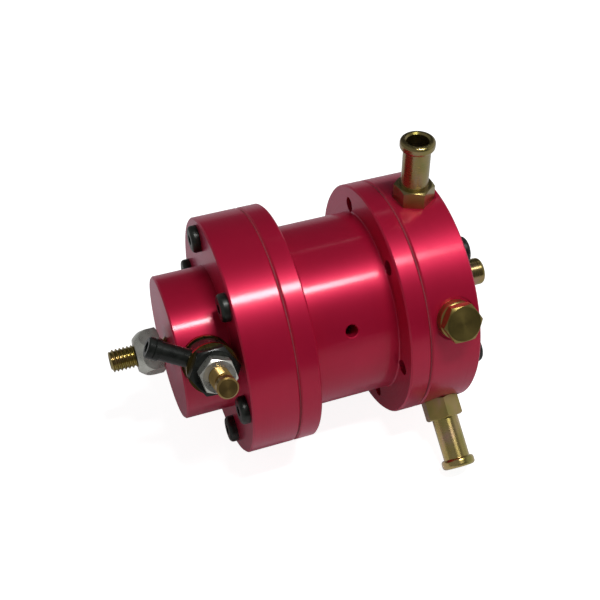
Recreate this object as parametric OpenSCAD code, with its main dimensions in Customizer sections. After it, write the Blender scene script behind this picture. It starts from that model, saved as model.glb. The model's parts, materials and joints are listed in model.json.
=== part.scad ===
// Two-diaphragm fuel pressure regulator, lying on its side as it comes to rest.
// X runs along the axis of the housing, from the adjusting screw to the return nipple.
// The origin is on that axis, in the middle of the barrel. Angles round the axis
// count from straight up towards the front, which is -Y.

/* [Housing] */
// Diameter of the flanges of the bonnet, the body and the base
flange_d = 64; // [60:0.5:76]
// Thickness of each flange of the body
body_flange_t = 5.5; // [4.6:0.1:8]
// Diameter of the barrel between the flanges of the body
barrel_d = 49.4; // [46:0.2:50]
// Length of the barrel between the flanges
barrel_len = 24; // [21:0.5:40]
// Radius in the corners between the barrel and its flanges
barrel_round = 0.4; // [0.2:0.1:0.6]
// Thickness of the flange of the bonnet
bonnet_flange_t = 12.4; // [10:0.2:18]
// Diameter of the spring boss on the bonnet
boss_d = 38.4; // [35:0.2:40]
// Length of the spring boss
boss_len = 13.5; // [13:0.5:20]
// Wall at the end of the boss, which is tapped for the adjusting screw
boss_end_wall = 4.4; // [3.6:0.1:4.8]
// Thickness of the base
base_t = 13.6; // [13:0.2:20]
// Chamfer of the turned edges
edge_chamfer = 0.4; // [0.2:0.05:0.8]

/* [Layout] */
// Angle of the inlet, from straight up towards the front
inlet_angle = -2; // [-10:1:10]
// Angle of the banjo and of the vent hole
front_angle = 60; // [56:1:64]
// Angle of the gauge plug
gauge_angle = 62; // [54:1:66]
// Angle of the outlet
outlet_angle = 125; // [118:0.5:128]

/* [Inside] */
// Thickness of the two diaphragms
diaphragm_t = 0.3; // [0.2:0.1:1.2]
// Step of the diaphragm's rim behind the rim of the flanges
diaphragm_step = 0.3; // [0.1:0.1:0.8]
// Diameter of the diaphragm chambers
chamber_d = 40; // [38:0.5:42]
// Depth of the diaphragm chamber in the bonnet
bonnet_chamber_depth = 5; // [4:0.2:8]
// Depth of the diaphragm chamber in the body
body_chamber_depth = 6; // [4.5:0.2:8]
// Diameter of the spring bore in the bonnet
spring_bore_d = 24; // [22.5:0.5:25]
// Diameter of the vented bore in the barrel
vent_bore_d = 34; // [32:0.5:36]
// Thickness of the web that carries the stem guide
web_t = 6; // [5:0.2:8]
// Depth of the pocket between the web and the fuel diaphragm
fuel_pocket_depth = 7.3; // [6:0.1:9]
// Diameter of the fuel chamber and of that pocket
fuel_chamber_d = 24; // [22.5:0.5:28]
// Depth of the fuel chamber in the base
fuel_chamber_depth = 9; // [8.9:0.1:9.3]
// Diameter of the vent hole in the barrel
vent_hole_d = 3.3; // [1.5:0.1:3.5]
// Chamfer at the mouth of the vent hole
vent_chamfer = 0.3; // [0.1:0.05:0.5]
// Distance of the vent hole from the middle of the barrel
vent_x = -0.4; // [-3:0.1:1]

/* [Flange screws] */
// Number of screws in each flange
screw_count = 6; // [5:1:6]
// Thread diameter of the flange screws
screw_d = 4; // [3:0.5:4.5]
// Diameter of the screw heads
screw_head_d = 7.2; // [6:0.1:8]
// Height of the screw heads
screw_head_h = 2.2; // [2:0.1:4]
// Radius of the rounded rim of the screw heads
screw_head_round = 1; // [0.4:0.1:1.5]
// Width of the hexagon socket in the screw heads
screw_socket_af = 2.5; // [2:0.1:3]
// Distance from the screw's axis to the rim of the flange
screw_edge = 5.2; // [4.6:0.1:5.3]
// Length of thread engaged in the flange of the body
screw_grip = 4; // [3:0.1:4.5]

/* [Hose fittings] */
// Width across the flats of the fittings' hexagons
fitting_af = 9.2; // [8.4:0.1:10]
// Height of the hexagons on the inlet barb and the return nipple
fitting_hex_h = 4.6; // [3:0.1:6]
// Height of the hexagon on the outlet barb
outlet_hex_h = 5.8; // [4:0.1:7]
// Thread diameter of the fittings in the base
fitting_thread_d = 8; // [7.6:0.1:8.4]
// Depth of the fittings' thread in the side of the base
fitting_thread_len = 9; // [6:0.5:12]
// Outside diameter of the barbs' tubes
tube_d = 7.1; // [6.8:0.1:8.2]
// Length of the inlet barb from its hexagon to the middle of its bead
inlet_len = 12; // [9:0.5:20]
// Length of the outlet barb from its hexagon to the middle of its bead
outlet_len = 12.4; // [10:0.2:16]
// Bore of the hose tubes
tube_bore_d = 5.7; // [4.8:0.1:5.8]
// Diameter of the bead at the end of a barb
bead_d = 9; // [8.6:0.1:11]
// Radius of the rounded shoulders of the bead
bead_round = 0.9; // [0.5:0.05:1]
// Length of the flat land on the bead
bead_land = 0.8; // [0.4:0.1:1.6]
// Bore of the ports that lead to the fuel chamber
port_bore_d = 4.2; // [3:0.1:4.3]
// Outside diameter of the return nipple's tube
return_d = 7.6; // [7:0.1:8.2]
// Length of the return nipple's tube beyond its hexagon
return_len = 11.6; // [8:0.1:18]
// Height of the gauge plug's round collar
plug_collar_h = 2.6; // [1.5:0.1:3.5]
// Diameter of the gauge plug's round collar
plug_collar_d = 9.9; // [8.4:0.1:10]
// Radius of the rounded rim of the gauge plug's collar
plug_collar_round = 0.6; // [0.2:0.1:1]
// Height of the gauge plug's hexagon
plug_hex_h = 2.9; // [2:0.1:6]

/* [Adjuster] */
// Thread diameter of the adjusting screw
adjuster_d = 6; // [5:0.1:6.4]
// Length of the adjusting screw outside the boss
adjuster_reach = 15.4; // [14:0.1:22]
// Width across the flats of the adjuster's lock nut
lock_nut_af = 11; // [9.4:0.1:12]
// Height of the lock nut's hexagon up to its dome
lock_nut_hex_h = 3; // [2.4:0.1:4]
// Height of the dome on the lock nut
lock_nut_dome_h = 3.8; // [2:0.1:4]
// Diameter of the flat end of the lock nut's dome
lock_nut_end_d = 8.6; // [8:0.1:9.2]
// Thickness of the upper spring seat
spring_seat_t = 2.5; // [2.2:0.1:3]
// Distance the adjuster moves the spring seat each way
adjuster_travel = 1.5; // [0.5:0.1:1.8]
// Wire diameter of the main spring
spring_wire_d = 1.8; // [1.2:0.1:2]
// Mean diameter of the main spring
spring_mean_d = 16; // [15:0.5:17]
// Number of turns of the main spring
spring_turns = 4.5; // [4:0.5:5.5]

/* [Valve] */
// Diameter of the stem
stem_d = 6; // [5.5:0.1:7]
// Diameter of the stem's threaded ends
stem_thread_d = 4; // [3.5:0.1:4.4]
// Diameter of the control diaphragm's plates
control_plate_d = 32; // [26:0.5:33]
// Diameter of the fuel diaphragm's plate
fuel_plate_d = 18; // [15:0.5:19]
// Thickness of the diaphragm plates
plate_t = 2; // [1.5:0.1:2.5]
// Diameter of the valve disc
valve_disc_d = 12; // [10:0.2:14]
// Thickness of the valve disc
valve_disc_t = 3; // [2.4:0.1:3.4]
// Bore of the valve seat
seat_bore_d = 3; // [2:0.1:3.6]
// Outside diameter of the valve seat's nozzle
seat_nozzle_d = 6; // [5.6:0.1:8]

/* [Banjo] */
// Thread diameter of the banjo bolt
banjo_bolt_d = 6; // [5.4:0.1:6.4]
// Width across the flats of the banjo bolt
banjo_bolt_af = 11.2; // [10:0.1:12]
// Height of the banjo bolt's hexagon
banjo_bolt_hex_h = 3.2; // [3.2:0.1:6]
// Outside diameter of the banjo ring
banjo_ring_d = 12; // [11.4:0.1:12.8]
// Height of the banjo ring
banjo_ring_h = 6; // [5.6:0.1:9]
// Outside diameter of the sealing washers
banjo_washer_d = 12.9; // [11:0.1:13]
// Thickness of the sealing washers
banjo_washer_t = 1; // [0.6:0.1:1.5]
// Outside diameter of the hose nipple on the banjo ring
nipple_d = 4.7; // [4.2:0.1:5.4]
// Length of the hose nipple beyond the banjo ring
nipple_len = 10.3; // [8:0.1:16]
// Bore of the hose nipple
nipple_bore_d = 2.8; // [2:0.1:3]
// Turn of the hose nipple from the axis of the housing towards the inlet
nipple_turn = 30; // [0:1:80]

/* [Bleed needle] */
// Thread diameter of the bleed needle
needle_d = 5.2; // [4.6:0.1:5.4]
// Width across the flats of the needle's lock nut
needle_nut_af = 8.2; // [7.4:0.1:9]
// Height of the needle's lock nut
needle_nut_h = 4; // [3:0.1:5]
// Length of the needle outside its lock nut
needle_reach = 9.2; // [7:0.1:14]
// Length of the plain end of the needle
needle_end_len = 2.8; // [2:0.1:5.5]

/* [Hidden] */
$fn = 96;

// Fits: radial gaps of the threads and the stem, of the screws' holes and of the sliding pieces
thread_gap = 0.05;
running_gap = 0.03;
screw_clearance = 0.25;
slide_gap = 0.3;
cut = 1;

// Turn of the first screw round the axis, of the barbs' hexagons in their ports and of the two nuts
first_screw_angle = 30;
inlet_hex_turn = 36;
outlet_hex_turn = 37;
lock_nut_turn = 30;
needle_nut_turn = 41;

// Radii and places along the axis
flange_r = flange_d / 2;
boss_r = boss_d / 2;
half_body = barrel_len / 2 + body_flange_t;
bonnet_mate = -half_body - diaphragm_t;
bonnet_face = bonnet_mate - bonnet_flange_t;
boss_face = bonnet_face - boss_len;
boss_roof = boss_face + boss_end_wall;
base_mate = half_body + diaphragm_t;
base_face = base_mate + base_t;
port_x = base_mate + base_t / 2;
banjo_x = bonnet_face - boss_len / 2;
screw_circle_r = flange_r - screw_edge;
fuel_floor = base_mate + fuel_chamber_depth;
web_far = half_body - fuel_pocket_depth;
web_near = web_far - web_t;

// Flats that the side fittings seat on
hex_corner = 1 / cos(30);
hex_face_ratio = 0.97;
spot_gap = 0.4;
banjo_spot_gap = 0.2;
port_spot_d = fitting_af * hex_corner + 2 * spot_gap;
port_thread_d = fitting_thread_d + 2 * thread_gap;
port_seat_r = sqrt(flange_r * flange_r - port_spot_d * port_spot_d / 4);
banjo_spot_d = max(banjo_washer_d, banjo_ring_d) + banjo_spot_gap;
banjo_seat_r = sqrt(boss_r * boss_r - banjo_spot_d * banjo_spot_d / 4);

// The part rolls towards the front until the flanges and the outlet's bead both lie on the floor
bead_mid = port_seat_r + outlet_hex_h + outlet_len;
bead_edge_mid = bead_mid + bead_land / 2;
bead_ring_r = bead_d / 2 - bead_round;
bead_reach = sqrt(bead_edge_mid * bead_edge_mid + bead_ring_r * bead_ring_r);
outlet_rest = acos(-(flange_r - bead_round) / bead_reach) - atan(bead_ring_r / bead_edge_mid);
rest_roll = outlet_rest - outlet_angle;

// Adjuster, from the outside in
adjuster_tip = boss_face - adjuster_reach;
lock_nut_back = boss_face - adjuster_travel - slide_gap;
seat_back = boss_roof + adjuster_travel + slide_gap;
seat_front = seat_back + spring_seat_t;
spring_seat_d = spring_bore_d - 2 * slide_gap;
seat_pocket = 1.2;
pocket_floor = seat_back + seat_pocket;
adjuster_nose = pocket_floor - running_gap;
socket_depth = 2;
screw_socket_depth = 1.4;
adjuster_socket_af = 3;
tip_chamfer = 0.6;

// Stem and plates
plate_back = bonnet_mate - plate_t;
plate_front = -half_body + plate_t;
stem_collar_t = 2;
stem_collar_w = 2;
stem_collar_d = stem_d + 2 * stem_collar_w;
stem_end = half_body - plate_t;
stem_nut_af = 8;
stem_past_nut = 1;
stem_nut_h = 4;
stem_tip = plate_back - stem_nut_h - stem_past_nut;
stem_collar_end = plate_front + stem_collar_t;
spigot_len = 7;
bush_wall = 2;
bush_flange_t = 1.5;
bush_flange_w = 2;
bush_d = stem_d + 2 * bush_wall;
bush_flange_d = bush_d + 2 * bush_flange_w;
disc_face = base_mate + valve_disc_t;
seat_tip = disc_face + running_gap;
seat_flange_t = 1.5;
seat_flange_w = 2.5;
seat_flange_d = seat_nozzle_d + 2 * seat_flange_w;
seat_spigot_len = 3;
seat_spigot_d = tube_bore_d - 2 * thread_gap;
breather_d = 3;
breather_count = 3;
breather_r = (bush_flange_d + fuel_chamber_d) / 4;
stem_hole_d = stem_thread_d + 2 * thread_gap;

// Bead of a barb and round of the return nipple's end
bead_end = bead_land / 2 + bead_round;
mouth_chamfer = 0.4;
return_round = 1;

// Banjo stack, as distances from the axis
lower_washer_r = banjo_seat_r + banjo_washer_t;
ring_top_r = lower_washer_r + banjo_ring_h;
bolt_seat_r = ring_top_r + banjo_washer_t;
bolt_top_r = bolt_seat_r + banjo_bolt_hex_h;
needle_nut_top_r = bolt_top_r + needle_nut_h;
needle_top_r = needle_nut_top_r + needle_reach;
banjo_mid_r = lower_washer_r + banjo_ring_h / 2;
bolt_end_r = spring_bore_d / 2 + cut;
needle_floor_t = 0.4;
needle_seat_r = bolt_seat_r + needle_floor_t;
needle_shut_room = 0.8;
needle_body_r = needle_seat_r + needle_shut_room;
needle_neck_len = 1.5;
needle_neck_depth = 0.6;
needle_neck_d = needle_d - 2 * needle_neck_depth;
bolt_bore_d = 3;
needle_point_gap = 0.2;
needle_point_d = bolt_bore_d - 2 * needle_point_gap;
needle_point_chamfer = 0.8;
needle_point_len = 2.6;
cross_hole_d = 1.8;
ring_groove_w = 2.6;
ring_groove_depth = 0.8;
nipple_ridge = 0.35;
nipple_ridge_len = 1.6;
nipple_ridges = 2;

// Seal of the needle
seal_section_d = 0.74;
seal_gap = 0.04;
seal_groove_w = 0.9;
seal_land = 0.3;
seal_r = needle_body_r + seal_land + seal_groove_w / 2;
seal_outer_d = needle_d + 2 * thread_gap - 2 * seal_gap;
seal_mean_d = seal_outer_d - seal_section_d;
seal_groove_d = seal_mean_d - seal_section_d - seal_gap;

// Spring wire: sides of its section and steps in a turn
wire_sides = 8;
turn_steps = 24;
end_turns = 1;
coil_gap = 0.1;
spring_seat_gap = 0.04;
spring_len = plate_back - seat_front - 2 * spring_seat_gap;

red = [0.66, 0.05, 0.14];
brass = [0.72, 0.60, 0.26];
zinc = [0.75, 0.75, 0.74];
black = [0.08, 0.08, 0.09];
rubber = [0.14, 0.13, 0.13];
steel = [0.55, 0.56, 0.58];

// Rolls what is modelled upright to the way the part lies
module lie() {
    rotate([rest_roll, 0, 0])
        children();
}

// Local +Z becomes +X, starting at x
module on_axis(x) {
    translate([x, 0, 0])
        rotate([0, 90, 0])
            children();
}

// Local +Z points out from the axis, at the given angle and place
module at_side(angle, x) {
    rotate([angle, 0, 0])
        translate([x, 0, 0])
            children();
}

// Repeats along X at each screw of a flange
module at_screws(x) {
    for (i = [0 : screw_count - 1])
        rotate([first_screw_angle + i * 360 / screw_count, 0, 0])
            translate([x, 0, screw_circle_r])
                rotate([0, 90, 0])
                    children();
}

module round_hole(d, from, to) {
    translate([0, 0, from])
        cylinder(d = d, h = to - from);
}

// Turned disc with a chamfer at each end
module turned(d, from, to, chamfer_from, chamfer_to) {
    r = d / 2;
    rotate_extrude()
        polygon([
            [0, from], [r - chamfer_from, from], [r, from + chamfer_from],
            [r, to - chamfer_to], [r - chamfer_to, to], [0, to]
        ]);
}

// Hexagon with turned chamfers on its corners, standing on z = 0
module hexagon(af, h, chamfer_low = false, chamfer_high = true) {
    corner_r = af / 2 * hex_corner;
    flat_r = af / 2 * hex_face_ratio;
    drop = (corner_r - flat_r) * tan(30);
    low = chamfer_low ? drop : 0;
    high = chamfer_high ? drop : 0;
    intersection() {
        cylinder(r = corner_r, h = h, $fn = 6);
        rotate_extrude()
            polygon([
                [0, 0], [chamfer_low ? flat_r : corner_r, 0], [corner_r, low],
                [corner_r, h - high], [chamfer_high ? flat_r : corner_r, h], [0, h]
            ]);
    }
}

module hex_socket(af, depth, top) {
    translate([0, 0, top - depth])
        cylinder(d = af * hex_corner, h = depth + cut, $fn = 6);
}

module bonnet() {
    color(red)
        lie()
            difference() {
                on_axis(0)
                    difference() {
                        union() {
                            turned(flange_d, bonnet_face, bonnet_mate, edge_chamfer, edge_chamfer);
                            turned(boss_d, boss_face, bonnet_face + cut, edge_chamfer, 0);
                        }
                        round_hole(chamber_d, bonnet_mate - bonnet_chamber_depth, bonnet_mate + cut);
                        round_hole(spring_bore_d, boss_roof, bonnet_mate);
                        round_hole(adjuster_d + 2 * thread_gap, boss_face - cut, boss_roof + cut);
                    }
                at_screws(bonnet_face - cut)
                    cylinder(d = screw_d + 2 * screw_clearance, h = bonnet_flange_t + 2 * cut);
                at_side(front_angle, banjo_x) {
                    round_hole(banjo_spot_d, banjo_seat_r, boss_r + cut);
                    round_hole(banjo_bolt_d + 2 * thread_gap, spring_bore_d / 2 - 2 * cut, boss_r);
                }
            }
}

// Wide groove that leaves the barrel between two flanges, with rounded corners and a chamfered mouth
module barrel_groove() {
    half = barrel_len / 2;
    floor_r = barrel_d / 2;
    corner_r = floor_r + barrel_round;
    mouth_r = flange_r + cut;
    mouth_half = half + edge_chamfer + cut;
    rotate_extrude() {
        translate([floor_r, barrel_round - half])
            square([mouth_r - floor_r, barrel_len - 2 * barrel_round]);
        translate([corner_r, -half])
            square([mouth_r - corner_r, barrel_len]);
        for (side = [-1, 1])
            translate([corner_r, side * (half - barrel_round)])
                circle(r = barrel_round);
        polygon([[flange_r - edge_chamfer, -half], [mouth_r, -mouth_half], [mouth_r, mouth_half],
            [flange_r - edge_chamfer, half]]);
    }
}

module body() {
    color(red)
        lie()
            difference() {
                on_axis(0)
                    difference() {
                        turned(flange_d, -half_body, half_body, edge_chamfer, edge_chamfer);
                        barrel_groove();
                        round_hole(chamber_d, -half_body - cut, -half_body + body_chamber_depth);
                        round_hole(vent_bore_d, -half_body, web_near);
                        round_hole(bush_d + 2 * running_gap, web_near - cut, web_far + cut);
                        round_hole(fuel_chamber_d, web_far, half_body + cut);
                    }
                for (side = [-1, 1])
                    at_screws(side < 0 ? -half_body - cut : barrel_len / 2 - cut)
                        cylinder(d = screw_d + 2 * thread_gap, h = body_flange_t + 2 * cut);
                for (i = [0 : breather_count - 1])
                    at_side(i * 360 / breather_count, (web_near + web_far) / 2)
                        translate([0, 0, breather_r])
                            rotate([0, 90, 0])
                                cylinder(d = breather_d, h = web_t + 2 * cut, center = true);
                at_side(front_angle, vent_x) {
                    round_hole(vent_hole_d, 0, barrel_d / 2 + cut);
                    translate([0, 0, barrel_d / 2 - vent_chamfer])
                        cylinder(d1 = vent_hole_d, d2 = vent_hole_d + 4 * vent_chamfer, h = 2 * vent_chamfer);
                }
            }
}

module base() {
    color(red)
        lie()
            difference() {
                on_axis(0)
                    difference() {
                        turned(flange_d, base_mate, base_face, edge_chamfer, edge_chamfer);
                        round_hole(fuel_chamber_d, base_mate - cut, fuel_floor);
                        round_hole(port_thread_d, fuel_floor - cut, base_face + cut);
                    }
                at_screws(base_mate - cut)
                    cylinder(d = screw_d + 2 * screw_clearance, h = base_t + 2 * cut);
                for (angle = [inlet_angle, gauge_angle, outlet_angle])
                    at_side(angle, port_x) {
                        round_hole(port_spot_d, port_seat_r, flange_r + cut);
                        round_hole(port_thread_d, port_seat_r - fitting_thread_len - cut, flange_r);
                        round_hole(port_bore_d, fuel_chamber_d / 2 - cut, port_seat_r);
                    }
            }
}

// Clamped between two flanges, with holes for the screws and the stem
module diaphragm(from, hole_d) {
    color(rubber)
        lie()
            difference() {
                on_axis(from)
                    difference() {
                        cylinder(d = flange_d - 2 * diaphragm_step, h = diaphragm_t);
                        round_hole(hole_d, -cut, diaphragm_t + cut);
                    }
                at_screws(from - cut)
                    cylinder(d = screw_d + 2 * screw_clearance, h = diaphragm_t + 2 * cut);
            }
}

module control_diaphragm() {
    diaphragm(bonnet_mate, stem_hole_d);
}

module fuel_diaphragm() {
    diaphragm(half_body, stem_hole_d);
}

// Disc on z = 0 with a rounded upper rim
module rounded_disc(d, h, round) {
    rotate_extrude() {
        square([d / 2, h - round]);
        square([d / 2 - round, h]);
        intersection() {
            translate([d / 2 - round, h - round])
                circle(r = round);
            square([d / 2, h]);
        }
    }
}

// Low-head socket screw: the head is above z = 0 and the shank below
module flange_screw(shank_len) {
    difference() {
        union() {
            rounded_disc(screw_head_d, screw_head_h, screw_head_round);
            turned(screw_d, -shank_len, cut, edge_chamfer, 0);
        }
        hex_socket(screw_socket_af, screw_socket_depth, screw_head_h);
    }
}

module bonnet_screws() {
    color(black)
        lie()
            at_screws(bonnet_face)
                mirror([0, 0, 1])
                    flange_screw(bonnet_flange_t + diaphragm_t + screw_grip);
}

module base_screws() {
    color(black)
        lie()
            at_screws(base_face)
                flange_screw(base_t + diaphragm_t + screw_grip);
}

module adjusting_screw() {
    color(brass)
        lie()
            on_axis(0)
                difference() {
                    turned(adjuster_d, adjuster_tip, adjuster_nose, tip_chamfer, tip_chamfer);
                    mirror([0, 0, 1])
                        hex_socket(adjuster_socket_af, socket_depth, -adjuster_tip);
                }
}

// Hexagon nut whose outer end is part of a ball that meets the hexagon's corners; backed off for adjusting
module adjuster_lock_nut() {
    corner_r = lock_nut_af / 2 * hex_corner;
    end_r = lock_nut_end_d / 2;
    height = lock_nut_hex_h + lock_nut_dome_h;
    ball_z = (height + lock_nut_hex_h - (corner_r * corner_r - end_r * end_r) / lock_nut_dome_h) / 2;
    ball_r = sqrt(end_r * end_r + (height - ball_z) * (height - ball_z));
    color(zinc)
        lie()
            on_axis(lock_nut_back)
                mirror([0, 0, 1])
                    difference() {
                        intersection() {
                            rotate([0, 0, lock_nut_turn])
                                hexagon(lock_nut_af, height, true, false);
                            union() {
                                cylinder(r = corner_r + cut, h = lock_nut_hex_h);
                                translate([0, 0, ball_z])
                                    sphere(r = ball_r);
                            }
                        }
                        round_hole(adjuster_d + 2 * thread_gap, -cut, height + cut);
                    }
}

module upper_spring_seat() {
    color(steel)
        lie()
            on_axis(0)
                difference() {
                    turned(spring_seat_d, seat_back, seat_front, edge_chamfer, edge_chamfer);
                    round_hole(adjuster_d + 2 * slide_gap, seat_back - cut, pocket_floor);
                }
}

// Height along the spring after t turns: closed turns at both ends, even pitch between
function coil_rise(t) =
    let (
        closed = spring_wire_d + coil_gap,
        rise = spring_len - spring_wire_d,
        pitch = (rise - 2 * end_turns * closed) / (spring_turns - 2 * end_turns)
    )
    t < end_turns ? t * closed
    : t > spring_turns - end_turns ? rise - (spring_turns - t) * closed
    : end_turns * closed + (t - end_turns) * pitch;

function wire_ring(t) = [
    for (k = [0 : wire_sides - 1])
        let (
            a = k * 360 / wire_sides,
            r = spring_mean_d / 2 + spring_wire_d / 2 * cos(a),
            z = spring_wire_d / 2 + coil_rise(t) + spring_wire_d / 2 * sin(a)
        )
        [r * cos(360 * t), r * sin(360 * t), z]
];

module main_spring() {
    rings = spring_turns * turn_steps;
    points = [for (i = [0 : rings]) each wire_ring(i / turn_steps)];
    walls = [
        for (i = [0 : rings - 1], k = [0 : wire_sides - 1])
            let (n = (k + 1) % wire_sides)
            each [
                [i * wire_sides + k, (i + 1) * wire_sides + k, i * wire_sides + n],
                [i * wire_sides + n, (i + 1) * wire_sides + k, (i + 1) * wire_sides + n]
            ]
    ];
    first_end = [for (k = [0 : wire_sides - 1]) k];
    last_end = [for (k = [wire_sides - 1 : -1 : 0]) rings * wire_sides + k];
    color(steel)
        lie()
            on_axis(seat_front + spring_seat_gap)
                polyhedron(points, concat(walls, [first_end, last_end]));
}

module plate(d, from, hole_d) {
    color(steel)
        lie()
            on_axis(0)
                difference() {
                    turned(d, from, from + plate_t, edge_chamfer, edge_chamfer);
                    round_hole(hole_d, from - cut, from + plate_t + cut);
                }
}

module control_plate_upper() {
    plate(control_plate_d, plate_back, stem_hole_d);
}

module control_plate_lower() {
    plate(control_plate_d, -half_body, stem_hole_d);
}

module fuel_plate() {
    plate(fuel_plate_d, stem_end, stem_hole_d);
}

module stem() {
    color(steel)
        lie()
            on_axis(0)
                difference() {
                    union() {
                        turned(stem_thread_d, stem_tip, plate_front + cut, edge_chamfer, 0);
                        turned(stem_collar_d, plate_front, stem_collar_end, edge_chamfer, edge_chamfer);
                        round_hole(stem_d, plate_front + cut, stem_end);
                    }
                    round_hole(stem_hole_d, base_mate - spigot_len - cut, stem_end + cut);
                }
}

module stem_nut() {
    color(zinc)
        lie()
            on_axis(plate_back)
                mirror([0, 0, 1])
                    difference() {
                        hexagon(stem_nut_af, stem_nut_h);
                        round_hole(stem_hole_d, -cut, stem_nut_h + cut);
                    }
}

module stem_guide_bush() {
    color(brass)
        lie()
            on_axis(0)
                difference() {
                    union() {
                        round_hole(bush_d, web_near - cut, web_far);
                        turned(bush_flange_d, web_near - bush_flange_t, web_near, edge_chamfer, 0);
                    }
                    round_hole(stem_d + 2 * running_gap, web_near - bush_flange_t - cut, web_far + cut);
                }
}

module valve_disc() {
    color(brass)
        lie()
            on_axis(0) {
                turned(valve_disc_d, base_mate, disc_face, edge_chamfer, edge_chamfer);
                turned(stem_thread_d, base_mate - spigot_len, base_mate + cut, edge_chamfer, 0);
            }
}

module valve_seat() {
    color(brass)
        lie()
            on_axis(0)
                difference() {
                    union() {
                        turned(seat_nozzle_d, seat_tip, fuel_floor - seat_flange_t + cut, edge_chamfer, 0);
                        turned(seat_flange_d, fuel_floor - seat_flange_t, fuel_floor, edge_chamfer, 0);
                        round_hole(seat_spigot_d, fuel_floor - cut, fuel_floor + seat_spigot_len);
                    }
                    round_hole(seat_bore_d, seat_tip - cut, fuel_floor + seat_spigot_len + cut);
                }
}

// Thread below z = 0 and hexagon above it
module fitting_root(thread_len, hex_h, chamfer_low = false) {
    turned(fitting_thread_d, -thread_len, cut, edge_chamfer, 0);
    hexagon(fitting_af, hex_h, chamfer_low);
}

module return_nipple() {
    wall = base_face - fuel_floor;
    top = fitting_hex_h + return_len;
    color(brass)
        lie()
            on_axis(base_face)
                difference() {
                    union() {
                        fitting_root(wall, fitting_hex_h);
                        rounded_disc(return_d, top, return_round);
                    }
                    round_hole(tube_bore_d, -wall - cut, top + cut);
                }
}

// Rounded bead with a flat land, middle at z = 0
module bead() {
    rotate_extrude()
        union() {
            translate([0, -bead_land / 2])
                square([bead_d / 2, bead_land]);
            translate([0, -bead_end])
                square([bead_ring_r, 2 * bead_end]);
            for (side = [-1, 1])
                translate([bead_ring_r, side * bead_land / 2])
                    circle(r = bead_round);
        }
}

module barb(hex_h, tube_len, hex_turn, chamfer_low) {
    middle = hex_h + tube_len;
    mouth = middle + bead_end;
    difference() {
        union() {
            rotate([0, 0, hex_turn])
                fitting_root(fitting_thread_len, hex_h, chamfer_low);
            round_hole(tube_d, 0, middle);
            translate([0, 0, middle])
                bead();
        }
        round_hole(tube_bore_d, -fitting_thread_len - cut, mouth + cut);
        translate([0, 0, mouth - mouth_chamfer])
            cylinder(d1 = tube_bore_d, d2 = tube_bore_d + 4 * mouth_chamfer, h = 2 * mouth_chamfer);
    }
}

module inlet_barb() {
    color(brass)
        lie()
            at_side(inlet_angle, port_x)
                translate([0, 0, port_seat_r])
                    barb(fitting_hex_h, inlet_len, inlet_hex_turn, false);
}

module outlet_barb() {
    color(brass)
        lie()
            at_side(outlet_angle, port_x)
                translate([0, 0, port_seat_r])
                    barb(outlet_hex_h, outlet_len, outlet_hex_turn, true);
}

module gauge_plug() {
    color(brass)
        lie()
            at_side(gauge_angle, port_x)
                translate([0, 0, port_seat_r]) {
                    turned(fitting_thread_d, -fitting_thread_len, cut, edge_chamfer, 0);
                    rounded_disc(plug_collar_d, plug_collar_h, plug_collar_round);
                    translate([0, 0, plug_collar_h])
                        hexagon(fitting_af, plug_hex_h, true, true);
                }
}

// One ridge of the banjo's nipple, ending at the given distance
module nipple_barb(end) {
    turned(nipple_d + 2 * nipple_ridge, end - nipple_ridge_len, end, 0, nipple_ridge);
}

module banjo() {
    ring_r = banjo_ring_d / 2;
    nipple_tip = ring_r + nipple_len;
    color(black)
        lie()
            at_side(front_angle, banjo_x)
                difference() {
                    union() {
                        turned(banjo_ring_d, lower_washer_r, ring_top_r, edge_chamfer, edge_chamfer);
                        translate([0, 0, banjo_mid_r])
                            rotate([0, 0, 180 - nipple_turn])
                                rotate([0, 90, 0]) {
                                    round_hole(nipple_d, 0, nipple_tip);
                                    for (end = [0 : nipple_ridges - 1])
                                        nipple_barb(nipple_tip - end * nipple_ridge_len);
                                }
                    }
                    round_hole(banjo_bolt_d + 2 * thread_gap, lower_washer_r - cut, ring_top_r + cut);
                    round_hole(banjo_bolt_d + 2 * ring_groove_depth, banjo_mid_r - ring_groove_w / 2,
                        banjo_mid_r + ring_groove_w / 2);
                    translate([0, 0, banjo_mid_r])
                        rotate([0, 0, 180 - nipple_turn])
                            rotate([0, 90, 0])
                                round_hole(nipple_bore_d, 0, nipple_tip + cut);
                }
}

module banjo_bolt() {
    color(black)
        lie()
            at_side(front_angle, banjo_x)
                difference() {
                    union() {
                        turned(banjo_bolt_d, bolt_end_r, bolt_seat_r + cut, edge_chamfer, 0);
                        translate([0, 0, bolt_seat_r])
                            hexagon(banjo_bolt_af, banjo_bolt_hex_h);
                    }
                    round_hole(bolt_bore_d, bolt_end_r - cut, bolt_top_r);
                    round_hole(needle_d + 2 * thread_gap, needle_seat_r, bolt_top_r + cut);
                    translate([0, 0, banjo_mid_r])
                        for (turn = [0, 90])
                            rotate([0, 0, turn])
                                rotate([0, 90, 0])
                                    cylinder(d = cross_hole_d, h = banjo_bolt_d + 2 * cut, center = true);
                }
}

module banjo_washers() {
    color(brass)
        lie()
            at_side(front_angle, banjo_x)
                for (from = [banjo_seat_r, ring_top_r])
                    difference() {
                        round_hole(banjo_washer_d, from, from + banjo_washer_t);
                        round_hole(banjo_bolt_d + 2 * thread_gap, from - cut, from + banjo_washer_t + cut);
                    }
}

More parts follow.
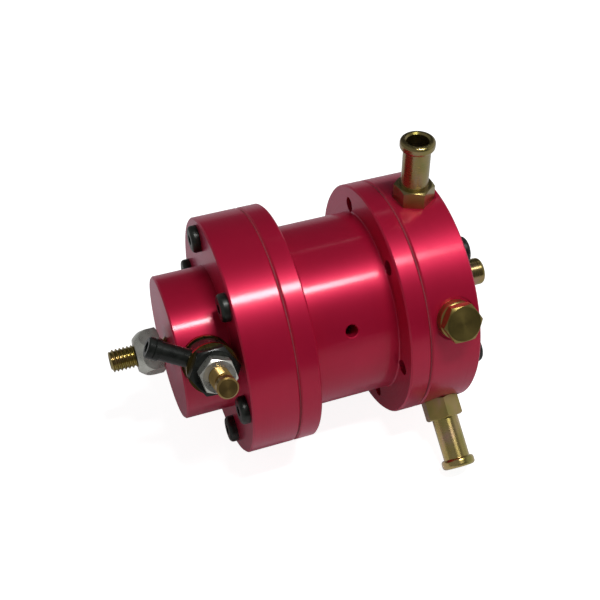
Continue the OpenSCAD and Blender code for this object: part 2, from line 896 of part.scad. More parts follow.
module bleed_needle() {
    neck_top = needle_top_r - needle_end_len;
    neck_low = neck_top - needle_neck_len;
    color(brass)
        lie()
            at_side(front_angle, banjo_x)
                difference() {
                    union() {
                        turned(needle_point_d, needle_body_r - needle_point_len, needle_body_r + cut,
                            needle_point_chamfer, 0);
                        turned(needle_d, needle_body_r, neck_low, edge_chamfer / 2, edge_chamfer);
                        round_hole(needle_neck_d, neck_low - cut, neck_top + cut);
                        turned(needle_d, neck_top, needle_top_r, edge_chamfer, edge_chamfer);
                    }
                    difference() {
                        round_hole(needle_d + cut, seal_r - seal_groove_w / 2, seal_r + seal_groove_w / 2);
                        round_hole(seal_groove_d, seal_r - seal_groove_w, seal_r + seal_groove_w);
                    }
                }
}

module needle_lock_nut() {
    color(zinc)
        lie()
            at_side(front_angle, banjo_x)
                translate([0, 0, bolt_top_r])
                    difference() {
                        rotate([0, 0, needle_nut_turn])
                            hexagon(needle_nut_af, needle_nut_h, true, true);
                        round_hole(needle_d + 2 * thread_gap, -cut, needle_nut_h + cut);
                    }
}

module needle_o_ring() {
    color(rubber)
        lie()
            at_side(front_angle, banjo_x)
                translate([0, 0, seal_r])
                    rotate_extrude()
                        translate([seal_mean_d / 2, 0])
                            circle(d = seal_section_d);
}

bonnet();
body();
base();
control_diaphragm();
fuel_diaphragm();
bonnet_screws();
base_screws();
adjusting_screw();
adjuster_lock_nut();
upper_spring_seat();
main_spring();
control_plate_upper();
control_plate_lower();
stem();
stem_nut();
stem_guide_bush();
fuel_plate();
valve_disc();
valve_seat();
return_nipple();
inlet_barb();
outlet_barb();
gauge_plug();
banjo();
banjo_bolt();
banjo_washers();
bleed_needle();
needle_lock_nut();
needle_o_ring();
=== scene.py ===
"""Looks of the fuel pressure regulator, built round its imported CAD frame.

Everything is in metres and in the CAD's frame: X runs along the housing from the adjusting
screw to the return nipple, Z is up as the part rests, and the viewer stands at -Y.
"""
import json
import math

import bmesh
import bpy
from mathutils import Euler, Matrix, Vector


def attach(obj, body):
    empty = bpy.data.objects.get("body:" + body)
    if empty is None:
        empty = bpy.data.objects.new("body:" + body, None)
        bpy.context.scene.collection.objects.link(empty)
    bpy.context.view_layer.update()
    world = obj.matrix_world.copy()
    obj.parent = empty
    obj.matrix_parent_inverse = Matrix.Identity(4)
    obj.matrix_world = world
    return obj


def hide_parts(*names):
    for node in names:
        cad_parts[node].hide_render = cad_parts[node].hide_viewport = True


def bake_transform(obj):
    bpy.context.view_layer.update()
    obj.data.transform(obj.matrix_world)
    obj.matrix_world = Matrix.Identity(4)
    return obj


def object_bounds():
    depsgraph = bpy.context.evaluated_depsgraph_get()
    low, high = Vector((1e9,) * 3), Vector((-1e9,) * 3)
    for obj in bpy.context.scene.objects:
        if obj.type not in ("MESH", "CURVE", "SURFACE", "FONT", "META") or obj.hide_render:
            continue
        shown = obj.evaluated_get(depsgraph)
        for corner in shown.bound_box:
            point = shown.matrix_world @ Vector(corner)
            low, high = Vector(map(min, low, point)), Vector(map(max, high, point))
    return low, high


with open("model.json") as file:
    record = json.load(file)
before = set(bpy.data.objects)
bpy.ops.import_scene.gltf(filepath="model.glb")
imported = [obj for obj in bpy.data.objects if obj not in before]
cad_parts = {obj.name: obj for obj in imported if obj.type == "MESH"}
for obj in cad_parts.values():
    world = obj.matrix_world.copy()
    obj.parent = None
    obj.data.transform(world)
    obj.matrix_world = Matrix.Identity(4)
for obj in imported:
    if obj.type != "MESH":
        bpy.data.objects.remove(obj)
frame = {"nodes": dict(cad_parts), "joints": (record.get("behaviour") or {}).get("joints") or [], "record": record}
CAD_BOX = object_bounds()
NODES = frame["nodes"]
RECORD = frame["record"]
JOINTS = {joint["name"]: joint for joint in frame["joints"]}
MM = 0.001

# Camera of the photograph, found from the circles of the flanges
CAMERA_AT = Vector((-72.66, -182.33, 200.54)) * MM
CAMERA_TURN = (44.859, -0.449, -19.416)
LENS_MM = 61.55
SENSOR_MM = 36.0
CLIP_START = 0.01

# Axes of the turned pieces
HOUSING_AT = Vector((0, 0, 0))
HOUSING_AXIS = Vector((1, 0, 0))
NEEDLE_AXIS = Vector(JOINTS["needle_turn"]["axis"])
NEEDLE_AT = Vector(JOINTS["needle_turn"]["pos_m"])
GAUGE_ANGLE = math.radians(61.16)
GAUGE_AXIS = Vector((0, -math.sin(GAUGE_ANGLE), math.cos(GAUGE_ANGLE)))
INLET_AXIS = Vector((0, 0.0496, 0.9988))
OUTLET_AXIS = Vector((0, -0.8275, -0.5615))
PORT_AT = Vector((24.6 * MM, 0, 0))

# Outer ends of the barbs' hexagons, from the housing's axis
INLET_HEX_TO = 36.1 * MM
OUTLET_HEX_TO = 37.3 * MM

# Highlights spread across lathe lines, a quarter turn from the direction of the cut
ACROSS_LINES = 0.25

# Edges that turn by more than this stay sharp in smooth shading, and points this close are one
SHARP_EDGE = math.radians(35)
SAME_PLACE = 0.0001 * MM


class Shader:
    """One material's nodes, with short calls that add and join them."""

    def __init__(self, name, base, metallic, roughness):
        self.material = bpy.data.materials.new(name)
        self.material.use_nodes = True
        self.tree = self.material.node_tree
        self.tree.nodes.clear()
        self.bsdf = self.add("ShaderNodeBsdfPrincipled")
        self.set("Base Color", (*base, 1))
        self.set("Metallic", metallic)
        self.set("Roughness", roughness)
        output = self.add("ShaderNodeOutputMaterial")
        self.tree.links.new(self.bsdf.outputs["BSDF"], output.inputs["Surface"])
        self.place = self.add("ShaderNodeTexCoord").outputs["Object"]

    def add(self, kind, **settings):
        node = self.tree.nodes.new(kind)
        for key, value in settings.items():
            setattr(node, key, value)
        return node

    def feed(self, socket, value):
        """Joins an output to a socket, or sets the socket to a plain value."""
        if isinstance(value, bpy.types.NodeSocket):
            self.tree.links.new(value, socket)
        else:
            socket.default_value = value

    def set(self, name, value):
        self.feed(self.bsdf.inputs[name], value)

    def number(self, operation, a, b=0.0):
        node = self.add("ShaderNodeMath", operation=operation)
        self.feed(node.inputs[0], a)
        self.feed(node.inputs[1], b)
        return node.outputs[0]

    def vector(self, operation, a, b=(0, 0, 0), out="Vector"):
        node = self.add("ShaderNodeVectorMath", operation=operation)
        self.feed(node.inputs[0], a)
        self.feed(node.inputs[1], b)
        return node.outputs[out]

    def combine(self, x, y, z):
        node = self.add("ShaderNodeCombineXYZ")
        for socket, value in zip(node.inputs, (x, y, z)):
            self.feed(socket, value)
        return node.outputs[0]

    def noise(self, place, scale, detail=2.0, roughness=0.5):
        node = self.add("ShaderNodeTexNoise")
        self.feed(node.inputs["Vector"], place)
        self.feed(node.inputs["Scale"], scale)
        self.feed(node.inputs["Detail"], detail)
        self.feed(node.inputs["Roughness"], roughness)
        return node.outputs["Fac"]

    def spread(self, value, low, high, from_low=0.3, from_high=0.7):
        """Maps the middle of a noise to the range from low to high."""
        node = self.add("ShaderNodeMapRange")
        limits = {"From Min": from_low, "From Max": from_high, "To Min": low, "To Max": high}
        for key, number in limits.items():
            self.feed(node.inputs[key], number)
        self.feed(node.inputs["Value"], value)
        return node.outputs[0]

    def ramp(self, value, stops):
        node = self.add("ShaderNodeValToRGB")
        elements = node.color_ramp.elements
        while len(elements) < len(stops):
            elements.new(0.5)
        for element, (position, colour) in zip(elements, stops):
            element.position = position
            element.color = (*colour, 1)
        self.feed(node.inputs["Fac"], value)
        return node.outputs["Color"]

    def bump(self, height, strength, distance):
        node = self.add("ShaderNodeBump")
        self.feed(node.inputs["Strength"], strength)
        self.feed(node.inputs["Distance"], distance)
        self.feed(node.inputs["Height"], height)
        self.set("Normal", node.outputs["Normal"])

    def round_axis(self, centre, axis):
        """Place along a lathe's axis, distance from it, and the direction round it."""
        offset = self.vector("SUBTRACT", self.place, tuple(centre))
        along = self.vector("DOT_PRODUCT", offset, tuple(axis), out="Value")
        sideways = self.vector("CROSS_PRODUCT", tuple(axis), offset)
        radius = self.vector("LENGTH", sideways, out="Value")
        tangent = self.vector("NORMALIZE", sideways)
        return along, radius, tangent

    def lathe_lines(self, centre, axis, scale, drift=0.015):
        """Noise in fine rings round an axis, which changes slowly on the way round."""
        along, radius, tangent = self.round_axis(centre, axis)
        slow = self.vector("DOT_PRODUCT", self.place, (0, drift, drift), out="Value")
        self.set("Tangent", tangent)
        return self.noise(self.combine(along, radius, slow), scale, 3.0, 0.6)


def red_anodised():
    """Dyed, sealed aluminium with fine lathe lines round the housing's axis."""
    s = Shader("red_anodised", (0.58, 0.007, 0.047), 0.5, 0.47)
    tone = s.noise(s.place, 60, 3.0)
    s.set("Base Color", s.ramp(tone, [(0.3, (0.55, 0.006, 0.044)), (0.7, (0.61, 0.008, 0.051))]))
    lines = s.lathe_lines(HOUSING_AT, HOUSING_AXIS, 5200)
    s.set("Roughness", s.spread(lines, 0.41, 0.49))
    s.bump(lines, 0.03, 0.01 * MM)
    s.set("Specular IOR Level", 0.45)
    s.set("Specular Tint", (1.0, 0.6, 1.0, 1))
    s.set("Anisotropic", 0.45)
    s.set("Anisotropic Rotation", ACROSS_LINES)
    s.set("Coat Weight", 0.5)
    s.set("Coat Roughness", 0.15)
    s.set("Coat IOR", 1.5)
    return s.material


def yellow_passivated(name, centre, axis, light=1.0, hexagon_to=None, dull=0.0, coat=0.9):
    """Yellow chromate over metal turned round an axis: gold that drifts towards green and pink.

    Up to hexagon_to along the axis the metal is drawn bar, rougher by dull than the turned tube.
    """
    s = Shader(name, (0.38, 0.29, 0.09), 1.0, 0.28)
    along, _, tangent = s.round_axis(centre, axis)
    round_it = s.vector("MULTIPLY", tangent, (2.2 * MM,) * 3)
    slowly_along = s.vector("MULTIPLY", s.place, (0.5,) * 3)
    drift = s.noise(s.vector("ADD", round_it, slowly_along), 300, 2.0)
    stops = [(0.28, (0.27, 0.24, 0.06)), (0.45, (0.34, 0.27, 0.08)), (0.58, (0.37, 0.28, 0.11)),
             (0.75, (0.4, 0.26, 0.17))]
    s.set("Base Color", s.ramp(drift, [(at, [light * c for c in colour]) for at, colour in stops]))
    lines = s.lathe_lines(centre, axis, 4200, 0.05)
    turned = s.spread(lines, 0.25, 0.31)
    if hexagon_to:
        fade = 0.1 * MM
        drawn = s.spread(along, dull, 0.0, hexagon_to - fade, hexagon_to + fade)
        s.set("Roughness", s.number("ADD", turned, drawn))
    else:
        s.set("Roughness", turned)
    s.bump(lines, 0.02, 0.02 * MM)
    s.set("Anisotropic", 0.6)
    s.set("Anisotropic Rotation", ACROSS_LINES)
    s.set("Coat Weight", coat)
    s.set("Coat Roughness", 0.08)
    return s.material


def turned_face(name, centre, axis, dark, light):
    """Plated metal with the rings that a facing cut leaves round an axis."""
    s = Shader(name, light, 1.0, 0.3)
    drift = s.noise(s.place, 260, 2.0)
    s.set("Base Color", s.ramp(drift, [(0.3, dark), (0.7, light)]))
    lines = s.lathe_lines(centre, axis, 5200, 0.05)
    s.set("Roughness", s.spread(lines, 0.28, 0.38))
    s.bump(lines, 0.02, 0.02 * MM)
    s.set("Anisotropic", 0.6)
    s.set("Anisotropic Rotation", ACROSS_LINES)
    s.set("Coat Weight", 0.25)
    s.set("Coat Roughness", 0.16)
    return s.material


def sealing_ring():
    """Bright brass of the banjo's washers."""
    s = Shader("sealing_ring", (0.45, 0.32, 0.1), 1.0, 0.16)
    tone = s.noise(s.place, 400, 3.0)
    s.set("Base Color", s.ramp(tone, [(0.3, (0.38, 0.26, 0.075)), (0.7, (0.52, 0.38, 0.13))]))
    s.set("Roughness", s.spread(tone, 0.12, 0.22))
    return s.material


def bright_zinc():
    """Zinc-plated steel of the nuts, with a faint spangle."""
    s = Shader("bright_zinc", (0.7, 0.7, 0.65), 0.82, 0.3)
    spangle = s.noise(s.place, 500, 4.0)
    s.set("Base Color", s.ramp(spangle, [(0.3, (0.62, 0.62, 0.56)), (0.7, (0.78, 0.78, 0.72))]))
    s.set("Roughness", s.spread(spangle, 0.24, 0.36))
    s.bump(s.noise(s.place, 2500, 3.0), 0.08, 0.02 * MM)
    return s.material


def black_oxide():
    """Blackened steel of the flange screws."""
    s = Shader("black_oxide", (0.02, 0.023, 0.02), 0.35, 0.36)
    tone = s.noise(s.place, 700, 3.0)
    s.set("Base Color", s.ramp(tone, [(0.3, (0.014, 0.017, 0.014)), (0.7, (0.036, 0.041, 0.035))]))
    s.set("Roughness", s.spread(tone, 0.28, 0.44))
    s.bump(s.noise(s.place, 3000, 2.0), 0.1, 0.02 * MM)
    return s.material


def gloss_black():
    """Glossy black finish of the banjo and its bolt."""
    s = Shader("gloss_black", (0.013, 0.015, 0.013), 0.2, 0.2)
    tone = s.noise(s.place, 500, 3.0)
    s.set("Base Color", s.ramp(tone, [(0.3, (0.009, 0.01, 0.009)), (0.7, (0.02, 0.023, 0.02))]))
    s.set("Roughness", s.spread(tone, 0.24, 0.34))
    s.bump(s.noise(s.place, 2500, 2.0), 0.06, 0.02 * MM)
    s.set("Specular IOR Level", 0.36)
    s.set("Coat Weight", 0.05)
    s.set("Coat Roughness", 0.12)
    return s.material


def plain_metal(name, dark, light):
    """Bare metal of the pieces inside."""
    s = Shader(name, light, 1.0, 0.35)
    tone = s.noise(s.place, 600, 3.0)
    s.set("Base Color", s.ramp(tone, [(0.3, dark), (0.7, light)]))
    s.set("Roughness", s.spread(tone, 0.28, 0.42))
    return s.material


def rubber_and_seam_glint():
    """Rubber on woven cloth, in a light red that is partly its own colour and partly a painted glint along the
    seams between the flanges.
    """
    s = Shader("diaphragm_rubber", (0.3, 0.06, 0.08), 0.0, 0.6)
    weave = s.noise(s.place, 2200, 2.0)
    # The lighter red paints the glint where the rim shows in the seams, on top of the rubber's own red.
    s.set("Base Color", s.ramp(weave, [(0.3, (0.26, 0.035, 0.05)), (0.7, (0.38, 0.055, 0.08))]))
    s.set("Roughness", s.spread(weave, 0.55, 0.75))
    s.set("Specular IOR Level", 0.3)
    s.bump(weave, 0.2, 0.03 * MM)
    return s.material


SLOT_MATERIALS = {
    "red_anodised": red_anodised(),
    "black_oxide": black_oxide(),
    "gloss_black": gloss_black(),
    "yellow_passivated": yellow_passivated("turned_stud", HOUSING_AT, HOUSING_AXIS, 1.15, coat=0.2),
    "sealing_ring": sealing_ring(),
    "bright_zinc": bright_zinc(),
    "spring_steel": plain_metal("spring_steel", (0.4, 0.41, 0.43), (0.56, 0.57, 0.59)),
    "valve_brass": plain_metal("valve_brass", (0.5, 0.38, 0.13), (0.62, 0.48, 0.2)),
    "diaphragm_rubber": rubber_and_seam_glint(),
}
for subpart in RECORD["subparts"]:
    for holder in NODES[subpart["node"]].material_slots:
        holder.material = SLOT_MATERIALS[subpart["material_slot"]]
TURNED_FITTINGS = {
    "inlet_barb": yellow_passivated("turned_inlet", PORT_AT, INLET_AXIS, 1.0, INLET_HEX_TO, 0.03),
    # The outlet's chromate is painted 1.65 times lighter than the inlet's: a painted reflection of the bright
    # floor that its tube faces.
    "outlet_barb": yellow_passivated("turned_outlet", PORT_AT, OUTLET_AXIS, 1.65,
                                     OUTLET_HEX_TO, 0.16),
    "gauge_plug": turned_face("turned_plug", PORT_AT, GAUGE_AXIS,
                              (0.3, 0.23, 0.065), (0.4, 0.3, 0.09)),
}
for node, material in TURNED_FITTINGS.items():
    for holder in NODES[node].material_slots:
        holder.material = material


def thread_cut(phase):
    """Depth of a metric thread, from 0 on the crest to 1 in the root, over one turn."""
    crest, flank, root = 0.125, 0.3125, 0.25
    phase %= 1.0
    if phase < crest:
        return 0.0
    if phase < crest + flank:
        return (phase - crest) / flank
    if phase < crest + flank + root:
        return 1.0
    return (1.0 - phase) / flank


def outward(axis, angle):
    """Unit vector at right angles to an axis, at an angle round it."""
    side = axis.orthogonal().normalized()
    return side * math.cos(angle) + axis.cross(side) * math.sin(angle)


def turned_piece(name, centre, axis, stations, thread_from, thread_to, pitch, depth, segments=72):
    """A lathe piece through (along, radius) stations, threaded between two places."""
    rows_in_pitch = 10
    fade = pitch * 0.6
    rows = []
    for (low, low_r), (high, high_r) in zip(stations, stations[1:]):
        steps = max(1, round((high - low) / (pitch / rows_in_pitch)))
        rows += [(low + (high - low) * i / steps, low_r + (high_r - low_r) * i / steps)
                 for i in range(steps)]
    rows.append(stations[-1])
    mesh = bmesh.new()
    rings = []
    for along, radius in rows:
        ease = min(1.0, max(0.0, (along - thread_from) / fade),
                   max(0.0, (thread_to - along) / fade))
        ring = []
        for i in range(segments):
            turn = i / segments
            r = radius - depth * ease * thread_cut(along / pitch - turn)
            out = outward(axis, 2 * math.pi * turn)
            ring.append(mesh.verts.new(centre + axis * along + out * r))
        rings.append(ring)
    for a, b in zip(rings, rings[1:]):
        for i in range(segments):
            n = (i + 1) % segments
            mesh.faces.new((a[i], a[n], b[n], b[i]))
    mesh.faces.new(rings[0][::-1])
    mesh.faces.new(rings[-1])
    return finished(name, mesh)


def finished(name, mesh):
    """Turns a bmesh into a smooth-shaded object that keeps its sharp edges."""
    bmesh.ops.recalc_face_normals(mesh, faces=mesh.faces)
    data = bpy.data.meshes.new(name)
    mesh.to_mesh(data)
    mesh.free()
    data.shade_smooth()
    data.set_sharp_from_angle(angle=SHARP_EDGE)
    piece = bpy.data.objects.new(name, data)
    bpy.context.scene.collection.objects.link(piece)
    return piece


def dress(piece, node, material, body):
    """Dresses a piece that stands for a CAD node and rides on a body."""
    piece.data.materials.append(material)
    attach(piece, body)
    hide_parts(node)


def give(piece, node, slot):
    """Dresses a piece that stands for a CAD node, with its place baked into its mesh."""
    piece.data.materials.append(SLOT_MATERIALS[slot])
    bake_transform(piece)
    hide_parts(node)


def span(node, centre, axis):
    """First and last place of a CAD node along an axis, and its radius round it."""
    offsets = [Vector(vertex.co) - centre for vertex in NODES[node].data.vertices]
    places = [offset.dot(axis) for offset in offsets]
    return min(places), max(places), max(axis.cross(offset).length for offset in offsets)


def carve(piece, cutter):
    """Takes a cutter's form out of a piece, and the cutter out of the scene."""
    cut = piece.modifiers.new("cut", "BOOLEAN")
    cut.operation = "DIFFERENCE"
    cut.solver = "EXACT"
    cut.object = cutter
    graph = bpy.context.evaluated_depsgraph_get()
    carved = bpy.data.meshes.new_from_object(piece.evaluated_get(graph))
    piece.modifiers.clear()
    piece.data = carved
    piece.data.name = piece.name
    piece.data.set_sharp_from_angle(angle=SHARP_EDGE)
    bpy.data.objects.remove(cutter)


def cut_socket(piece, centre, axis, mouth, across_flats, depth):
    """Cuts a hexagon socket into a piece's first end."""
    corner = across_flats / 2 / math.cos(math.pi / 6)
    mesh = bmesh.new()
    ends = []
    for along in (mouth - depth, mouth + depth):
        ends.append([mesh.verts.new(centre + axis * along + outward(axis, i * math.pi / 3) * corner)
                     for i in range(6)])
    for i in range(6):
        n = (i + 1) % 6
        mesh.faces.new((ends[0][i], ends[0][n], ends[1][n], ends[1][i]))
    mesh.faces.new(ends[0][::-1])
    mesh.faces.new(ends[1])
    carve(piece, finished("socket_cutter", mesh))


def half_of(node, name, at, side):
    """The half of a CAD node before (side 1) or after (side -1) a place on the axis, closed."""
    mesh = bmesh.new()
    mesh.from_mesh(NODES[node].data)
    bmesh.ops.remove_doubles(mesh, verts=mesh.verts, dist=SAME_PLACE)
    everything = mesh.verts[:] + mesh.edges[:] + mesh.faces[:]
    cut = bmesh.ops.bisect_plane(mesh, geom=everything, clear_outer=True,
                                 plane_co=HOUSING_AXIS * at, plane_no=HOUSING_AXIS * side)
    rim = [part for part in cut["geom_cut"] if isinstance(part, bmesh.types.BMEdge)]
    bmesh.ops.holes_fill(mesh, edges=rim)
    return finished(name, mesh)


# Adjusting screw: an M6 stud with a hexagon socket, threaded past both ends
TIP_CHAMFER = 0.6 * MM
STUD_PITCH, STUD_DEPTH = 1.0 * MM, 0.45 * MM
SOCKET_FLATS, SOCKET_DEPTH = 3 * MM, 2 * MM
PAST_END = 1 * MM
stud_from, stud_to, stud_r = span("adjusting_screw", HOUSING_AT, HOUSING_AXIS)
stud = turned_piece(
    "adjuster_stud", HOUSING_AT, HOUSING_AXIS,
    [(stud_from, stud_r - TIP_CHAMFER), (stud_from + TIP_CHAMFER, stud_r),
     (stud_to - TIP_CHAMFER, stud_r), (stud_to, stud_r - TIP_CHAMFER)],
    stud_from - PAST_END, stud_to + PAST_END, STUD_PITCH, STUD_DEPTH)
cut_socket(stud, HOUSING_AT, HOUSING_AXIS, stud_from, SOCKET_FLATS, SOCKET_DEPTH)
dress(stud, "adjusting_screw", SLOT_MATERIALS["yellow_passivated"], "adjuster")

# Bleed needle: a point, a groove for its seal, a thread, a neck and a plain end with a turned face
needle_from, needle_to, needle_r = span("bleed_needle", NEEDLE_AT, NEEDLE_AXIS)
EDGE = 0.4 * MM
POINT_R, POINT_LEN, POINT_CHAMFER = 1.3 * MM, 2.6 * MM, 0.8 * MM
SEAL_R, SEAL_FROM, SEAL_TO = 1.85 * MM, 0.3 * MM, 1.2 * MM
NECK_R, NECK_LEN, END_LEN = needle_r - 0.6 * MM, 1.5 * MM, 2.8 * MM
NEEDLE_PITCH, NEEDLE_DEPTH, PLAIN_LEN = 0.8 * MM, 0.42 * MM, 1 * MM
body_from = needle_from + POINT_LEN
neck_to = needle_to - END_LEN
neck_from = neck_to - NECK_LEN
needle = turned_piece(
    "needle_screw", NEEDLE_AT, NEEDLE_AXIS,
    [(needle_from, POINT_R - POINT_CHAMFER), (needle_from + POINT_CHAMFER, POINT_R),
     (body_from, POINT_R), (body_from, needle_r - EDGE / 2), (body_from + EDGE / 2, needle_r),
     (body_from + SEAL_FROM, needle_r), (body_from + SEAL_FROM, SEAL_R),
     (body_from + SEAL_TO, SEAL_R), (body_from + SEAL_TO, needle_r),
     (neck_from - EDGE, needle_r), (neck_from, needle_r - EDGE), (neck_from, NECK_R),
     (neck_to, NECK_R), (neck_to, needle_r - EDGE), (neck_to + EDGE, needle_r),
     (needle_to - EDGE, needle_r), (needle_to, needle_r - EDGE)],
    body_from + SEAL_TO + PLAIN_LEN, neck_from, NEEDLE_PITCH, NEEDLE_DEPTH)
needle_metal = turned_face("turned_needle", NEEDLE_AT, NEEDLE_AXIS,
                           (0.38, 0.25, 0.08), (0.47, 0.31, 0.105))
dress(needle, "bleed_needle", needle_metal, "needle")

# Main spring: cut into two halves at its middle
spring_from, spring_to, _ = span("main_spring", HOUSING_AT, HOUSING_AXIS)
spring_middle = (spring_from + spring_to) / 2
give(half_of("main_spring", "spring_seat_half", spring_middle, 1), "main_spring", "spring_steel")
give(half_of("main_spring", "spring_plate_half", spring_middle, -1), "main_spring", "spring_steel")

# Diaphragms: a clamped rim, and free sectors inside it
SECTORS, SECTOR_STEPS, RADIAL_STEPS = 8, 8, 24
PLUG_PAST = 1 * MM
CONTROL_PLATE_R, CONTROL_CHAMBER_R = 16 * MM, 20 * MM
FUEL_PLATE_R, FUEL_CHAMBER_R = 9 * MM, 12 * MM


def clamped_rim(node, name, inner):
    """The part of a diaphragm beyond a radius, with its screw holes."""
    low, high, _ = span(node, HOUSING_AT, HOUSING_AXIS)
    rim = bpy.data.objects.new(name, NODES[node].data.copy())
    rim.data.materials.clear()
    bpy.context.scene.collection.objects.link(rim)
    plug = turned_piece("rim_cutter", HOUSING_AT, HOUSING_AXIS,
                        [(low - PLUG_PAST, inner), (high + PLUG_PAST, inner)],
                        low, high, PLUG_PAST, 0.0, SECTORS * SECTOR_STEPS)
    carve(rim, plug)
    return rim


def sector(name, low, high, inner, outer, middle):
    """A slice of a disc round the housing's axis, with rows of points across it."""
    mesh = bmesh.new()
    half = math.pi / SECTORS
    ways = [outward(HOUSING_AXIS, middle - half + 2 * half * s / SECTOR_STEPS)
            for s in range(SECTOR_STEPS + 1)]
    sheets = []
    for place in (low, high):
        sheet = []
        for r in range(RADIAL_STEPS + 1):
            radius = inner + (outer - inner) * r / RADIAL_STEPS
            sheet.append([mesh.verts.new(HOUSING_AXIS * place + way * radius) for way in ways])
        sheets.append(sheet)
    for sheet in sheets:
        for a, b in zip(sheet, sheet[1:]):
            for s in range(SECTOR_STEPS):
                mesh.faces.new((a[s], a[s + 1], b[s + 1], b[s]))
    edges = [[sheet[0] for sheet in sheets], [sheet[-1] for sheet in sheets],
             [[row[0] for row in sheet] for sheet in sheets],
             [[row[-1] for row in sheet] for sheet in sheets]]
    for near, far in edges:
        for i in range(len(near) - 1):
            mesh.faces.new((near[i], near[i + 1], far[i + 1], far[i]))
    return finished(name, mesh)


def diaphragm(node, clamp_r):
    """A diaphragm that rides on the housing beyond clamp_r, with free sectors inside it."""
    low, high, _ = span(node, HOUSING_AT, HOUSING_AXIS)
    points = [Vector(vertex.co) for vertex in NODES[node].data.vertices]
    hole_r = min(HOUSING_AXIS.cross(point).length for point in points)
    rim = clamped_rim(node, f"{node}_rim", clamp_r)
    dress(rim, node, SLOT_MATERIALS["diaphragm_rubber"], "housing")
    for number in range(SECTORS):
        middle = 2 * math.pi * number / SECTORS
        out = outward(HOUSING_AXIS, middle)
        piece = sector(f"{node}_{number}", low, high, hole_r, clamp_r, middle)
        give(piece, node, "diaphragm_rubber")


diaphragm("control_diaphragm", CONTROL_CHAMBER_R)
diaphragm("fuel_diaphragm", FUEL_CHAMBER_R)

# Camera at the photograph's place
camera = bpy.data.objects.new("camera", bpy.data.cameras.new("camera"))
bpy.context.scene.collection.objects.link(camera)
camera.location = CAMERA_AT
camera.rotation_euler = Euler([math.radians(a) for a in CAMERA_TURN])
camera.data.lens = LENS_MM
camera.data.sensor_width = SENSOR_MM
camera.data.clip_start = CLIP_START
bpy.context.scene.camera = camera

# Floor: white paper that keeps the part's shadow
FLOOR_HALF = 2.0
FLOOR_Z = CAD_BOX[0].z
FLOOR_GREY = 0.65
FLOOR_LIFT = {"Is Camera Ray": 0.9, "Is Glossy Ray": 0.08, "Is Transmission Ray": 0.08}


def lift_strength(tree):
    """How much the paper glows for rays that show it: to the camera, in metal or through glass."""
    path = tree.nodes.new("ShaderNodeLightPath")
    total = None
    for name, lift in FLOOR_LIFT.items():
        share = tree.nodes.new("ShaderNodeMath")
        share.operation = "MULTIPLY_ADD"
        tree.links.new(path.outputs[name], share.inputs[0])
        share.inputs[1].default_value = lift
        share.inputs[2].default_value = 0.0
        if total:
            tree.links.new(total, share.inputs[2])
        total = share.outputs[0]
    return total


def floor_paper():
    """Matt paper with a glow of its own, so that it shows white outside the shadow."""
    material = bpy.data.materials.new("floor_paper")
    material.use_nodes = True
    tree = material.node_tree
    tree.nodes.clear()
    paper = tree.nodes.new("ShaderNodeBsdfDiffuse")
    paper.inputs["Color"].default_value = (FLOOR_GREY, FLOOR_GREY, FLOOR_GREY, 1)
    lift = tree.nodes.new("ShaderNodeEmission")
    tree.links.new(lift_strength(tree), lift.inputs["Strength"])
    both = tree.nodes.new("ShaderNodeAddShader")
    output = tree.nodes.new("ShaderNodeOutputMaterial")
    tree.links.new(paper.outputs[0], both.inputs[0])
    tree.links.new(lift.outputs[0], both.inputs[1])
    tree.links.new(both.outputs[0], output.inputs["Surface"])
    return material


floor_mesh = bmesh.new()
bmesh.ops.create_grid(floor_mesh, x_segments=1, y_segments=1, size=FLOOR_HALF,
                      matrix=Matrix.Translation((0, 0, FLOOR_Z)))
floor = finished("floor", floor_mesh)
floor.data.materials.append(floor_paper())

# World: white to the camera, and to everything else a dim room with paler walls at both sides.
# A wall is the direction's X where it starts and where it is in full, and its brightness.
ROOM_LOW = 0.04
ROOM_HIGH = 0.072
SIDE_WALLS = ((-0.12, -0.5, 0.16), (0.5, 0.85, 0.36))


def map_range(tree, value, from_low, from_high, to_low, to_high):
    """Maps one range of a value to another, and stops at the ends."""
    node = tree.nodes.new("ShaderNodeMapRange")
    limits = {"From Min": from_low, "From Max": from_high, "To Min": to_low, "To Max": to_high}
    for key, number in limits.items():
        node.inputs[key].default_value = number
    tree.links.new(value, node.inputs["Value"])
    return node.outputs[0]


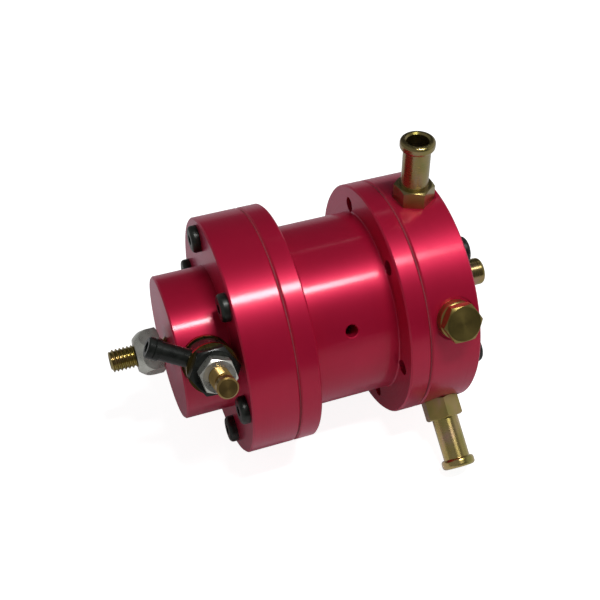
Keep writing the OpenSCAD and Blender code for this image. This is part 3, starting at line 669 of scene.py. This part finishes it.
def make_world():
    """The room that lights the part from all sides and shows in its metal."""
    world = bpy.data.worlds.new("studio")
    bpy.context.scene.world = world
    world.use_nodes = True
    tree = world.node_tree
    tree.nodes.clear()
    direction = tree.nodes.new("ShaderNodeTexCoord").outputs["Generated"]
    split = tree.nodes.new("ShaderNodeSeparateXYZ")
    tree.links.new(direction, split.inputs[0])
    room = map_range(tree, split.outputs["Z"], 0.0, 1.0, ROOM_LOW, ROOM_HIGH)
    for edge, full, brightness in SIDE_WALLS:
        wall = tree.nodes.new("ShaderNodeMath")
        tree.links.new(room, wall.inputs[0])
        share = map_range(tree, split.outputs["X"], edge, full, 0.0, brightness)
        tree.links.new(share, wall.inputs[1])
        room = wall.outputs[0]
    path = tree.nodes.new("ShaderNodeLightPath")
    strength = tree.nodes.new("ShaderNodeMix")
    strength.data_type = "FLOAT"
    tree.links.new(path.outputs["Is Camera Ray"], strength.inputs["Factor"])
    tree.links.new(room, strength.inputs["A"])
    strength.inputs["B"].default_value = 1.0
    background = tree.nodes.new("ShaderNodeBackground")
    background.inputs["Color"].default_value = (1, 1, 1, 1)
    tree.links.new(strength.outputs["Result"], background.inputs["Strength"])
    output = tree.nodes.new("ShaderNodeOutputWorld")
    tree.links.new(background.outputs[0], output.inputs["Surface"])


make_world()


def soft_light(name, at, aim, size_x, size_y, radiance):
    """A rectangular lamp of even brightness; its X side stays level."""
    data = bpy.data.lights.new(name, "AREA")
    data.shape = "RECTANGLE"
    data.size, data.size_y = size_x, size_y
    data.energy = radiance * math.pi * size_x * size_y
    lamp = bpy.data.objects.new(name, data)
    bpy.context.scene.collection.objects.link(lamp)
    lamp.location = at
    lamp.rotation_euler = (Vector(at) - Vector(aim)).to_track_quat("Z", "Y").to_euler()


# A strip lamp above and before the part, which fades towards +X, and a thin far one behind it, as
# their reflections show. A step is its two ends along X and its radiance.
LAMP_Z = 0.6
KEY_Y, KEY_WIDE = -0.176, 0.06
KEY_STEPS = ((-0.01, 0.14, 54), (0.14, 0.18, 46), (0.18, 0.205, 31), (0.205, 0.23, 18),
             (0.23, 0.26, 9), (0.26, 0.3, 4))
FAR_X, FAR_Y, FAR_LONG, FAR_WIDE, FAR_RADIANCE = 0.33, 0.47, 0.3, 0.02, 2.2
for number, (left, right, radiance) in enumerate(KEY_STEPS):
    middle = (left + right) / 2
    soft_light(f"key_{number}", (middle, KEY_Y, LAMP_Z), (middle, 0, 0),
               right - left, KEY_WIDE, radiance)
soft_light("far_strip", (FAR_X, FAR_Y, LAMP_Z), (FAR_X, 0, 0), FAR_LONG, FAR_WIDE, FAR_RADIANCE)

bpy.context.scene.view_settings.view_transform = "Standard"
